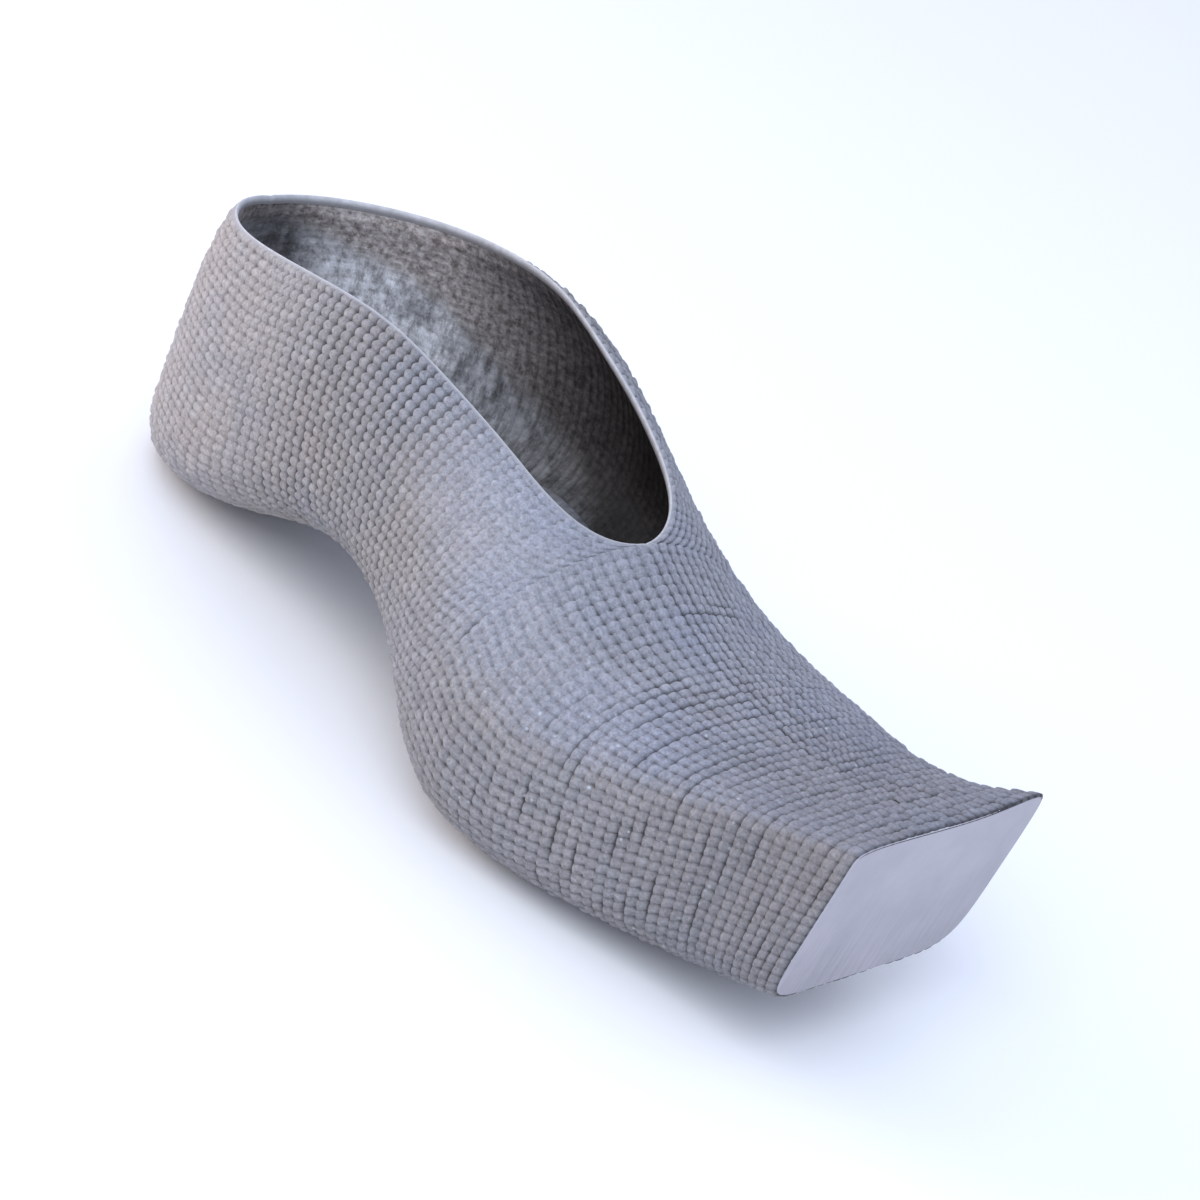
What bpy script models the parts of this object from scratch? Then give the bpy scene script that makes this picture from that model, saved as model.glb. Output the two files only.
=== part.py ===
# A printed slip-on shoe for the left foot: one hollow shell that is upper and sole in one,
# the flat plate that closes its square toe, and an insole that lies in the shell.
# +X runs from heel to toe, +Y to the outer side of the foot and +Z up. The shoe stands on z = 0.
# Sizes are millimetres until a mesh is made, and right and left are the wearer's.
import bpy
import bmesh
import numpy as np

for oldObject in list(bpy.data.objects):
    bpy.data.objects.remove(oldObject, do_unlink=True)

metresPerMm = 0.001

# Driving sizes
shellWall = 2.5
plateThickness = 2.5
plateChamfer = 0.6
insoleThickness = 3.0
insoleBreadth = 0.74      # share of the sole's breadth
plateGap = 0.3            # between the shell's front edge and the plate
insoleGap = 0.7           # between two curved faces, so that their flat facets stay clear too
toeLean = 0.10            # the toe sections lean forward by this for each mm of height
leanStart = 150           # where along the foot that lean begins
hornRise = 4              # the plate's left top corner is drawn up by this
hornReach = 40            # and the rise fades out over this length behind the plate
hornLimit = 1.2           # the rise stops growing at this share past the plate's own corner
insoleBack = 0.5          # the insole starts this many rows in front of the heel's top row
insoleFront = 0.7         # and ends this many rows behind the plate
insoleEndDraw = 0.9       # how far its breadth is drawn in at both ends
insoleEndSquare = 10      # and how late: 2 is a pointed end and 10 is a rounded one

# The form, a row for each section from the back of the heel to the toe plate
#   x, along the foot          sole and top, lowest height and height where the section closes
#   middle, centre line        half, half breadth
#   wideRight and wideLeft, height of the widest place on the arch side and on the outer side
formColumns = ("x", "sole", "top", "middle", "half", "wideRight", "wideLeft")
formRows = (
    (0, 28, 28, 5, 0, 28, 28),
    (1.5, 8, 52, 5, 8.5, 25, 29),
    (6.5, -1, 73, 4, 17.5, 22, 30),
    (23, 1, 90, 4, 31, 25, 33),
    (47, 7, 93, 6, 41, 31, 40),
    (75, 19, 90, 8.5, 46.5, 43, 49),
    (101, 25, 85, 8, 48, 48, 50),
    (128, 17.5, 79, 3, 49, 42, 44),
    (155, 2.5, 67, -2.5, 54.5, 34, 37),
    (180, -0.5, 55, -1.5, 53, 32, 36),
    (205, 5, 53, -3.5, 43.5, 36, 40),
    (229, 11, 56, -6, 34, 48, 45),
    (253, 21, 65, -6.5, 33, 58, 52),
)
heelTopRow = 2
throatRow = 8
toeRow = len(formRows) - 1
toe = dict(zip(formColumns, formRows[toeRow]))

# How square each quarter of those sections is: 2 is an ellipse and 8 is nearly a box
roundColumns = ("topRight", "topLeft", "soleRight", "soleLeft")
roundRows = (
    (2.0, 2.0, 2.0, 2.0),
    (2.8, 2.0, 2.2, 2.2),
    (3.6, 2.3, 2.5, 2.4),
    (3.7, 2.5, 2.5, 2.4),
    (3.4, 2.6, 2.5, 2.4),
    (3.0, 2.5, 2.5, 2.3),
    (2.5, 2.0, 2.7, 2.2),
    (2.1, 1.6, 2.8, 2.2),
    (2.1, 1.5, 3.0, 2.4),
    (2.5, 1.6, 3.4, 2.9),
    (3.5, 2.5, 4.7, 3.7),
    (5.0, 5.0, 6.6, 4.8),
    (6.2, 8.8, 9.0, 6.2),
)

# The collar's edge, as its depth below the closing height, from the heel's top row to the throat's
collarColumns = ("right", "left")
collarRows = ((0, 0), (15, 12), (14, 10), (8, 5), (6, 5), (5, 8), (0, 0))

# Mesh counts: sections behind the collar, along it and in front of it, and points on half a section
heelSections = 6
collarSections = 26
vampSections = 18
pointsPerHalf = 20
quarterSteps = 60
insoleSections = 30
insoleColumns = 12
collarCrowding = 0.75     # how much closer the sections stand at both ends of the collar
evenShare = 0.7           # points on a section stand evenly by this share, and closer at corners by the rest
creaseAngle = 40          # degrees, past which two faces meet in a sharp edge
weldDistance = 1e-6       # metres


def splineThrough(rows, places):
    # a natural cubic spline through the rows, which stand at 0, 1, 2 and so on
    rows = np.array(rows, float)
    last = len(rows) - 1
    system = np.eye(last + 1)
    bend = np.zeros_like(rows)
    for k in range(1, last):
        system[k, k - 1:k + 2] = 1, 4, 1
        bend[k] = 6 * (rows[k - 1] - 2 * rows[k] + rows[k + 1])
    curvature = np.linalg.solve(system, bend)
    k = np.minimum(places.astype(int), last - 1)
    after = (places - k)[:, None]
    before = 1 - after
    straight = before * rows[k] + after * rows[k + 1]
    return straight + ((before ** 3 - before) * curvature[k] + (after ** 3 - after) * curvature[k + 1]) / 6


def sectionsAt(places):
    # one dictionary of named sizes for each place along the rows
    form = splineThrough(formRows, places)
    rounds = splineThrough(roundRows, places)
    collarPlaces = np.clip(places - heelTopRow, 0, throatRow - heelTopRow)
    collar = np.maximum(splineThrough(collarRows, collarPlaces), 0)
    names = formColumns + roundColumns + collarColumns
    return [dict(zip(names, values)) for values in np.hstack([form, rounds, collar])]


def halfSection(size, side):
    # (y, z) down one side of a section: from the crown or the collar's edge to the middle of the sole
    angle = np.linspace(0, np.pi / 2, quarterSteps)
    sine = np.sin(angle)
    cosine = np.append(np.cos(angle[:-1]), 0)
    top, sole, wide = size["top"], size["sole"], size["wide" + side]
    upper = 2 / size["top" + side]
    lower = 2 / size["sole" + side]
    z = np.append(wide + (top - wide) * cosine ** upper, wide - (wide - sole) * sine[1:] ** lower)
    y = size["half"] * np.append(sine ** upper, cosine[1:] ** lower)
    edge = top - size[side.lower()]
    if edge < top:
        edgeY = np.interp(-edge, -z, y)
        y = np.append(edgeY, y[z < edge])
        z = np.append(edge, z[z < edge])
    # points stand closer where the outline turns a corner
    run = np.append(0, np.cumsum(np.hypot(np.diff(y), np.diff(z))))
    measure = evenShare * run / max(run[-1], weldDistance) + (1 - evenShare) * np.linspace(0, 1, len(run))
    share = np.linspace(0, 1, pointsPerHalf + 1)
    return np.interp(share, measure, y), np.interp(share, measure, z)


def ring(size):
    # a whole section, from the collar's right edge under the foot to its left edge
    rightY, rightZ = halfSection(size, "Right")
    leftY, leftZ = halfSection(size, "Left")
    y = size["middle"] + np.append(-rightY, leftY[-2::-1])
    z = np.append(rightZ, leftZ[-2::-1])
    return np.stack([np.full(len(y), size["x"]), y, z], axis=-1)


def leanForward(x, z):
    # the toe sections tip forward more and more towards the plate
    leaning = np.clip((x - leanStart) / (toe["x"] - leanStart), 0, 1) ** 2
    return x + toeLean * leaning * (z - toe["sole"])


def shapedToe(points):
    # the plate's left top corner rises, the toe sections lean, and the sole is flat where it meets the floor
    x, y, z = points[..., 0], points[..., 1], points[..., 2]
    nearPlate = np.clip(1 - (toe["x"] - x) / hornReach, 0, 1) ** 2
    outward = np.clip((y - toe["middle"]) / toe["half"], 0, hornLimit) ** 2
    upward = np.clip((z - toe["wideLeft"]) / (toe["top"] - toe["wideLeft"]), 0, hornLimit) ** 2
    raisedZ = z + hornRise * nearPlate * outward * upward
    return np.stack([leanForward(x, z), y, np.maximum(raisedZ, 0)], axis=-1)


def outerSurface(places):
    return shapedToe(np.array([ring(size) for size in sectionsAt(places)]))


def floorSurface(places, shares):
    # the outer face of the sole at shares of the half breadth, below 0 to the right and above 0 to the left
    rows = []
    for size, share in zip(sectionsAt(places), shares):
        wide = np.where(share < 0, size["wideRight"], size["wideLeft"])
        square = np.where(share < 0, size["soleRight"], size["soleLeft"])
        y = size["middle"] + size["half"] * share
        z = wide - (wide - size["sole"]) * (1 - np.abs(share) ** square) ** (1 / square)
        rows.append(np.stack([np.full(len(share), size["x"]), y, z], axis=-1))
    return shapedToe(np.array(rows))


def floorNormals(places, shares, step=0.01):
    # unit normals of that face, pointing up into the shoe
    along = floorSurface(places + step, shares) - floorSurface(places - step, shares)
    across = floorSurface(places, shares + step) - floorSurface(places, shares - step)
    normal = np.cross(along, across)
    return normal / np.linalg.norm(normal, axis=-1, keepdims=True)


def gridFaces(rows, columns):
    corner = np.arange(rows * columns).reshape(rows, columns)
    faces = [corner[:-1, :-1], corner[:-1, 1:], corner[1:, 1:], corner[1:, :-1]]
    return np.stack(faces, axis=-1).reshape(-1, 4)


def makeMaterial(name, color, roughness):
    material = bpy.data.materials.new(name)
    material.use_nodes = True
    shader = material.node_tree.nodes["Principled BSDF"]
    shader.inputs["Base Color"].default_value = (*color, 1)
    shader.inputs["Roughness"].default_value = roughness
    shader.inputs["Metallic"].default_value = 0
    return material


def makeObject(name, points, faces, material):
    # a mesh in metres about the middle of the shoe, with points that coincide welded
    mesh = bpy.data.meshes.new(name)
    places = (points - standPoint) * metresPerMm
    mesh.from_pydata(places.tolist(), [], [list(map(int, face)) for face in faces])
    welded = bmesh.new()
    welded.from_mesh(mesh)
    bmesh.ops.remove_doubles(welded, verts=welded.verts, dist=weldDistance)
    welded.to_mesh(mesh)
    welded.free()
    mesh.shade_smooth()
    mesh.set_sharp_from_angle(angle=np.radians(creaseAngle))
    mesh.materials.append(material)
    made = bpy.data.objects.new(name, mesh)
    bpy.context.collection.objects.link(made)
    return made


def thicken(made, thickness):
    wall = made.modifiers.new("wall", "SOLIDIFY")
    wall.thickness = thickness * metresPerMm
    wall.offset = -1
    wall.use_even_offset = True
    wall.use_quality_normals = True


# Places of the sections: closer together at both ends of the collar, so that its ends are round
toeRowPitch = formRows[toeRow][0] - formRows[toeRow - 1][0]
plateBack = toeRow - plateThickness / toeRowPitch
evenly = np.linspace(0, 1, collarSections + 1)
alongCollar = evenly - collarCrowding * np.sin(2 * np.pi * evenly) / (2 * np.pi)
shellPlaces = np.concatenate([
    np.linspace(0, heelTopRow, heelSections + 1),
    heelTopRow + (throatRow - heelTopRow) * alongCollar[1:-1],
    np.linspace(throatRow, toeRow, vampSections + 1),
])

# The toe plate's outline, square to the plate's own lean, drawn in a little for its chamfered front edge
plateFront = outerSurface(np.array([plateBack, toeRow]))[:, :-1]
plateMiddle = plateFront[1].mean(axis=0)
spread = plateFront[1] - plateMiddle
chamferStart = plateFront[0] + (plateFront[1] - plateFront[0]) * (1 - plateChamfer / plateThickness)
chamferEnd = plateMiddle + spread * (1 - plateChamfer / np.linalg.norm(spread, axis=-1, keepdims=True))
plateRings = np.array([plateFront[0], chamferStart, chamferEnd])

# The shoe stands on the middle of its own box
shellPoints = outerSurface(shellPlaces)
everyPoint = np.concatenate([shellPoints.reshape(-1, 3), plateRings.reshape(-1, 3)])
standPoint = (everyPoint.min(axis=0) + everyPoint.max(axis=0)) / 2
standPoint[2] = 0

# Shell: the outer surface, open along the collar and at the toe, thickened inwards
shellFaces = gridFaces(*shellPoints.shape[:2])
shell = makeObject("printed_shell", shellPoints.reshape(-1, 3), shellFaces,
                   makeMaterial("printed_grey", (0.30, 0.29, 0.30), 0.7))
thicken(shell, shellWall)

# The shell is cut off square behind the plate, along the plate's own lean
cutX = toe["x"] - plateThickness - plateGap
cutDepth = toe["half"]
cutSide = 2 * toe["half"]
cutHigh = 2 * toe["top"]
cutCorners = ((-cutSide, cutHigh), (-cutSide, 0), (cutSide, 0), (cutSide, cutHigh))
cutRings = np.array([
    [(leanForward(x, z), y, z) for y, z in cutCorners]
    for x in (cutX, cutX + cutDepth)
])
cutFaces = [(0, 1, 5, 4), (1, 2, 6, 5), (2, 3, 7, 6), (3, 0, 4, 7), (3, 2, 1, 0), (4, 5, 6, 7)]
cutter = makeObject("toe_cut", cutRings.reshape(-1, 3), cutFaces, shell.active_material)
cutter.hide_render = True
cutter.display_type = "WIRE"
squareToe = shell.modifiers.new("square toe", "BOOLEAN")
squareToe.operation = "DIFFERENCE"
squareToe.solver = "EXACT"
squareToe.object = cutter

# Toe plate: three rings joined round the edge, with a flat face at each end
ringCount = plateRings.shape[1]
closedRings = np.append(plateRings, plateRings[:, :1], axis=1)
plateFaces = list(gridFaces(*closedRings.shape[:2]))
backFace = np.arange(ringCount)[::-1]
frontFace = np.arange(ringCount) + 2 * (ringCount + 1)
makeObject("toe_plate", closedRings.reshape(-1, 3), plateFaces + [backFace, frontFace],
           makeMaterial("plate_grey", (0.52, 0.50, 0.53), 0.45))

# Insole: follows the shell's own floor from the heel's seat to behind the plate, with rounded ends
insolePlaces = np.linspace(heelTopRow + insoleBack, toeRow - insoleFront, insoleSections + 1)
alongInsole = np.linspace(-1, 1, insoleSections + 1)[:, None]
acrossInsole = np.linspace(-1, 1, insoleColumns + 1)
insoleShares = insoleBreadth * np.sqrt(1 - insoleEndDraw * alongInsole ** insoleEndSquare) * acrossInsole
underOffset = floorNormals(insolePlaces, insoleShares) * (shellWall + insoleGap)
insoleUnder = floorSurface(insolePlaces, insoleShares) + underOffset
insole = makeObject("insole", insoleUnder.reshape(-1, 3), gridFaces(*insoleUnder.shape[:2]),
                    makeMaterial("insole_grey", (0.22, 0.21, 0.21), 0.8))
thicken(insole, insoleThickness)
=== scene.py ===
import bpy
import bmesh
import numpy as np
from mathutils import Matrix, Vector


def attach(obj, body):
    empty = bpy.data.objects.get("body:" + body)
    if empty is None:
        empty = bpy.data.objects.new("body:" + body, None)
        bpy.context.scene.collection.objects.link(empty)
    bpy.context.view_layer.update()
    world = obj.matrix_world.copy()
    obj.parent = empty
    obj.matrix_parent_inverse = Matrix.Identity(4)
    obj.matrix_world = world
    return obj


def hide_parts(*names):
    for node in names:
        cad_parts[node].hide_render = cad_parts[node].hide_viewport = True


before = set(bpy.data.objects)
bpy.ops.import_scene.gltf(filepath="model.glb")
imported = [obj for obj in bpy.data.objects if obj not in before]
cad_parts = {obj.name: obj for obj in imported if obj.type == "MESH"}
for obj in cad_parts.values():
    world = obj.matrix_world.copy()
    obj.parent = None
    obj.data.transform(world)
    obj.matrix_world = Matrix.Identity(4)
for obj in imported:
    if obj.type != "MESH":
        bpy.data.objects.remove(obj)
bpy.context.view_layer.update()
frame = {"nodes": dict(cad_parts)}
print("frame loaded:", ", ".join(frame["nodes"]))

# the shoe's form in millimetres, heel at x 0 and toe plate at x 253, the same values as the solids have
shoeForm = {
    "columns": ("x", "sole", "top", "middle", "half", "wideRight", "wideLeft"),
    "rows": (
        (0, 28, 28, 5, 0, 28, 28),
        (1.5, 8, 52, 5, 8.5, 25, 29),
        (6.5, -1, 73, 4, 17.5, 22, 30),
        (23, 1, 90, 4, 31, 25, 33),
        (47, 7, 93, 6, 41, 31, 40),
        (75, 19, 90, 8.5, 46.5, 43, 49),
        (101, 25, 85, 8, 48, 48, 50),
        (128, 17.5, 79, 3, 49, 42, 44),
        (155, 2.5, 67, -2.5, 54.5, 34, 37),
        (180, -0.5, 55, -1.5, 53, 32, 36),
        (205, 5, 53, -3.5, 43.5, 36, 40),
        (229, 11, 56, -6, 34, 48, 45),
        (253, 21, 65, -6.5, 33, 58, 52),
    ),
    "roundColumns": ("topRight", "topLeft", "soleRight", "soleLeft"),
    "roundRows": (
        (2.0, 2.0, 2.0, 2.0), (2.8, 2.0, 2.2, 2.2), (3.6, 2.3, 2.5, 2.4), (3.7, 2.5, 2.5, 2.4),
        (3.4, 2.6, 2.5, 2.4), (3.0, 2.5, 2.5, 2.3), (2.5, 2.0, 2.7, 2.2), (2.1, 1.6, 2.8, 2.2),
        (2.1, 1.5, 3.0, 2.4), (2.5, 1.6, 3.4, 2.9), (3.5, 2.5, 4.7, 3.7), (5.0, 5.0, 6.6, 4.8),
        (6.2, 8.8, 9.0, 6.2),
    ),
    "collarColumns": ("collarRight", "collarLeft"),
    "collarRows": ((0, 0), (15, 12), (14, 10), (8, 5), (6, 5), (5, 8), (0, 0)),
    "heelTopRow": 2,
    "throatRow": 8,
    "leanStart": 150, "toeLean": 0.1,  # the toe's sections lean forward this much per mm of height
    "hornReach": 40, "hornRise": 4, "hornLimit": 1.2, "hornFrom": 52,
    "tablePlaces": 6001, "tableStep": 0.02,
    "standPoint": (128.7, -0.629, 0.0),  # where the frame's origin lies in the form
}
toeEnd, toeSole, toeTop, toeMiddle, toeHalf = shoeForm["rows"][-1][:5]


# natural cubic through the rows at 0, 1, 2 ...: each span is the straight blend of its two rows plus
# (b^3 - b) and (a^3 - a) shares of the curvatures that the tridiagonal system gives
def splineThrough(rows, places):
    rows = np.array(rows, float)
    last = len(rows) - 1
    system = np.eye(last + 1)
    bend = np.zeros_like(rows)
    inner = np.arange(1, last)
    system[inner, inner - 1], system[inner, inner], system[inner, inner + 1] = 1, 4, 1
    bend[inner] = 6 * (rows[:-2] - 2 * rows[1:-1] + rows[2:])
    curvature = np.linalg.solve(system, bend)
    k = np.minimum(places.astype(int), last - 1)
    after = (places - k)[:, None]
    before = 1 - after
    cubic = (before**3 - before) * curvature[k] + (after**3 - after) * curvature[k + 1]
    return before * rows[k] + after * rows[k + 1] + cubic / 6


# every size of the form as columns over an even run of x
def formTable():
    places = np.linspace(0, len(shoeForm["rows"]) - 1, shoeForm["tablePlaces"])
    sizes = splineThrough(shoeForm["rows"], places)
    rounds = splineThrough(shoeForm["roundRows"], places)
    heelTop, throat = shoeForm["heelTopRow"], shoeForm["throatRow"]
    collar = splineThrough(shoeForm["collarRows"], np.clip(places - heelTop, 0, throat - heelTop))
    columns = np.hstack((sizes, rounds, np.maximum(collar, 0)))
    names = shoeForm["columns"] + shoeForm["roundColumns"] + shoeForm["collarColumns"]
    even = np.arange(0, toeEnd + 1, shoeForm["tableStep"])
    return names, np.stack([np.interp(even, columns[:, 0], c) for c in columns.T], axis=1)


sizeNames, sizeTable = formTable()


# sizes at x by straight steps through the table, as a dictionary of arrays
def sizesAt(x, names=None):
    step = np.clip(x / shoeForm["tableStep"], 0, len(sizeTable) - 1.001)
    k = step.astype(int)
    share = step - k
    at = {}
    for name in names or sizeNames:
        column = sizeTable[:, sizeNames.index(name)]
        at[name] = column[k] * (1 - share) + column[k + 1] * share
    return at


# the cross-section is four quarter superellipses: |y|^n + |z|^n = 1 in shares of half width and height, and
# shares are held at 9, which is outside in any case
def sectionLevel(x, y, z):
    s = sizesAt(x, sizeNames[1:11])
    right = y < s["middle"]
    wide = np.where(right, s["wideRight"], s["wideLeft"])
    above = z > wide
    reach = np.where(above, s["top"] - wide, wide - s["sole"])
    power = np.where(
        above,
        np.where(right, s["topRight"], s["topLeft"]),
        np.where(right, s["soleRight"], s["soleLeft"]),
    )
    across = np.abs(y - s["middle"]) / np.maximum(s["half"], 1e-6)
    upward = np.abs(z - wide) / np.maximum(reach, 1e-6)
    return np.minimum(across, 9) ** power + np.minimum(upward, 9) ** power - 1


# length of each ray from its start to the section's edge, by halving
def rayLength(start, ray, reach, halvings):
    low, high = np.zeros(ray.shape[:2]), np.full(ray.shape[:2], reach)
    for _ in range(halvings):
        tried = (low + high) / 2
        outside = sectionLevel(*np.moveaxis(start + ray * tried[..., None], -1, 0)) > 0
        low, high = np.where(outside, low, tried), np.where(outside, tried, high)
    return low


# toe shaping: the far top corner rises by the product of three squared ramps, sections lean forward with
# height, and what would be under the floor lies on it
def shapedToe(points):
    x, y, z = np.moveaxis(points, -1, 0)
    f = shoeForm
    near = np.clip(1 - (toeEnd - x) / f["hornReach"], 0, 1)
    far = np.clip((y - toeMiddle) / toeHalf, 0, f["hornLimit"])
    high = np.clip((z - f["hornFrom"]) / (toeTop - f["hornFrom"]), 0, f["hornLimit"])
    lean = np.clip((x - f["leanStart"]) / (toeEnd - f["leanStart"]), 0, 1) ** 2
    risen = z + f["hornRise"] * near**2 * far**2 * high**2
    leaned = x + f["toeLean"] * lean * (z - toeSole)
    return np.stack((leaned, y, np.maximum(risen, 0)), axis=-1)


# vectors at length 1
def unit(vectors):
    return vectors / np.maximum(np.linalg.norm(vectors, axis=-1, keepdims=True), 1e-12)


# a table of (place, value) pairs read at places by straight steps
def tableAt(table, places):
    return np.interp(places, *np.transpose(table))


# values of each row of a 2-D table at places along that row: all rows are laid end to end for one search
def rowInterp(along, places, values):
    count, length = along.shape
    shift = np.arange(count)[:, None] * (along.max() + 1)
    found = np.searchsorted((along + shift).ravel(), (places + shift).ravel()).reshape(places.shape)
    k = np.clip(found - np.arange(count)[:, None] * length, 1, length - 1)
    lower, upper = np.take_along_axis(along, k - 1, 1), np.take_along_axis(along, k, 1)
    share = np.clip((places - lower) / np.maximum(upper - lower, 1e-9), 0, 1)[..., None]
    first = np.take_along_axis(values, (k - 1)[..., None], 1)
    return first * (1 - share) + np.take_along_axis(values, k[..., None], 1) * share


# smooths a run of values with a bell of the given width in samples, ends held
def smoothed(values, width):
    reach = int(3 * width)
    bell = np.exp(-0.5 * (np.arange(-reach, reach + 1) / width) ** 2)
    padded = np.pad(values, reach, mode="edge")
    return np.convolve(padded, bell / bell.sum(), mode="valid")


# how the rows of scales lie: rows cross the foot on leaning planes, fan round the heel about one axis, and
# each row is shared out into the same number of columns from the middle of the sole to the collar
scaleRows = {
    "rowsPerMm": (
        (38, 0.262), (60, 0.28), (75, 0.33), (90, 0.38), (105, 0.405), (120, 0.385), (135, 0.395), (150, 0.425),
        (165, 0.4), (180, 0.385), (195, 0.385), (210, 0.39), (225, 0.375), (253, 0.375),
    ),
    "planeLean": (
        (38, 0.15), (45, 0.06), (60, -0.14), (75, -0.22), (90, -0.21), (105, -0.17), (120, -0.07), (135, -0.01),
        (150, 0.03), (165, 0.0), (180, -0.09), (195, -0.15), (225, -0.15), (240, -0.08), (250, 0.0),
    ),
    "leanHeight": 45,
    "heelAxis": 40,
    "shellEnd": 250.2,
    "fanRows": 30,
    "columns": 39,
    # mm per column over the top and down the side, how far the top and the sole reach, all by x
    "topPitch": (
        (40, 2.6), (130, 2.6), (150, 2.9), (165, 3.5), (178, 3.7), (195, 3.4), (210, 3.1), (226, 2.75), (253, 2.7),
    ),
    "sidePitch": (
        (40, 2.5), (130, 2.55), (150, 2.75), (165, 3.0), (178, 2.9), (190, 2.75), (206, 2.6), (221, 2.48), (238, 2.4),
        (253, 2.4),
    ),
    "topPitchLeft": (
        (40, 2.6), (130, 2.6), (150, 2.7), (165, 2.75), (178, 2.7), (195, 2.6), (210, 2.5), (226, 2.4), (253, 2.4),
    ),
    "sidePitchLeft": (
        (40, 2.5), (130, 2.6), (150, 2.9), (165, 3.25), (178, 3.25), (190, 3.0), (206, 2.8), (221, 2.6), (253, 2.5),
    ),
    "topZone": ((40, 0), (130, 0), (150, 20), (165, 42), (178, 45), (200, 42), (221, 38), (253, 36)),
    "soleZone": ((40, 30), (100, 30), (130, 35), (155, 45), (178, 50), (205, 40), (229, 33), (253, 30)),
    "zoneBlend": 12, "shareSteps": 161,
    "lengthSteps": 2001, "rays": 361, "rayReach": 100.0, "halvings": 24,
    "collarAngle": 0.3,  # rays below this never meet the collar
    "girthBlend": 30,  # samples over which the column pitch evens out
    "edgePower": 4,  # higher keeps the collar's own steps nearer to its edge
    "plateRow": 252.75,  # the last row runs over the plate's side
    "towardHeel": (0, 0.05, 0.13, 0.34, 0.6, 0.84),  # samples across a scale, free edge first
    "evenly": (0, 0.1, 0.3, 0.5, 0.7, 0.9),
}


# loop of half-planes from the right of the toe, round the heel, to the left of the toe
def scaleLoop():
    s = scaleRows
    xs = np.linspace(s["heelAxis"], s["shellEnd"], s["lengthSteps"])
    density = tableAt(s["rowsPerMm"], xs)
    counted = np.concatenate(([0], np.cumsum((density[1:] + density[:-1]) / 2 * np.diff(xs))))
    frontRows = int(round(counted[-1])) + 1
    edges = np.interp(np.arange(frontRows) / (frontRows - 1) * counted[-1], counted, xs)
    edges = np.append(edges, s["plateRow"])
    steep = np.array(s["towardHeel"])
    left = (np.arange(frontRows)[:, None] + steep).ravel()  # row numbers from the heel forward
    left = np.append(left, frontRows)
    right = left[:0:-1]
    fan = (np.arange(s["fanRows"])[:, None] + np.array(s["evenly"])).ravel() / s["fanRows"]
    x = np.interp(np.concatenate((right, np.zeros(len(fan)), left)), np.arange(frontRows + 1), edges)
    turn = np.concatenate((np.zeros(len(right)), fan * np.pi, np.full(len(left), np.pi)))
    lean = tableAt(s["planeLean"], x)
    row = np.concatenate((frontRows - right, frontRows + fan * s["fanRows"], frontRows + s["fanRows"] + left))
    return x, turn, lean, row, frontRows


# arc shares of the columns in each row: columns per mm over the sole, side and top are summed from the sole's
# middle upward and read back at even counts; the sole has what the side and top leave over
def columnPlaces(x, turn, girth, q):
    s = scaleRows
    names = ("topPitch", "topPitchLeft", "sidePitch", "sidePitchLeft", "topZone", "soleZone")
    top, topLeft, side, sideLeft, topZone, soleZone = (tableAt(s[name], x)[:, None] for name in names)
    left = (turn / np.pi)[:, None]
    top, side = top + left * (topLeft - top), side + left * (sideLeft - side)
    girth = girth[:, None]
    share = np.linspace(0, 1, s["shareSteps"])[None]
    offSole = np.clip((share * girth - soleZone) / s["zoneBlend"] + 0.5, 0, 1)
    onTop = np.clip((topZone - (1 - share) * girth) / s["zoneBlend"] + 0.5, 0, 1)
    rest = s["columns"] - topZone / top - (girth - topZone - soleZone) / side
    density = (1 - offSole) * rest / soleZone + offSole * ((1 - onTop) / side + onTop / top)
    counted = np.cumsum((density[:, 1:] + density[:, :-1]) / 2, axis=1)
    counted = np.pad(counted, ((0, 0), (1, 0))) / counted[:, -1:]
    shares = np.broadcast_to(share, counted.shape)[..., None]
    return rowInterp(counted, np.broadcast_to(q, (len(x), len(q))), shares)[..., 0]


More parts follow.
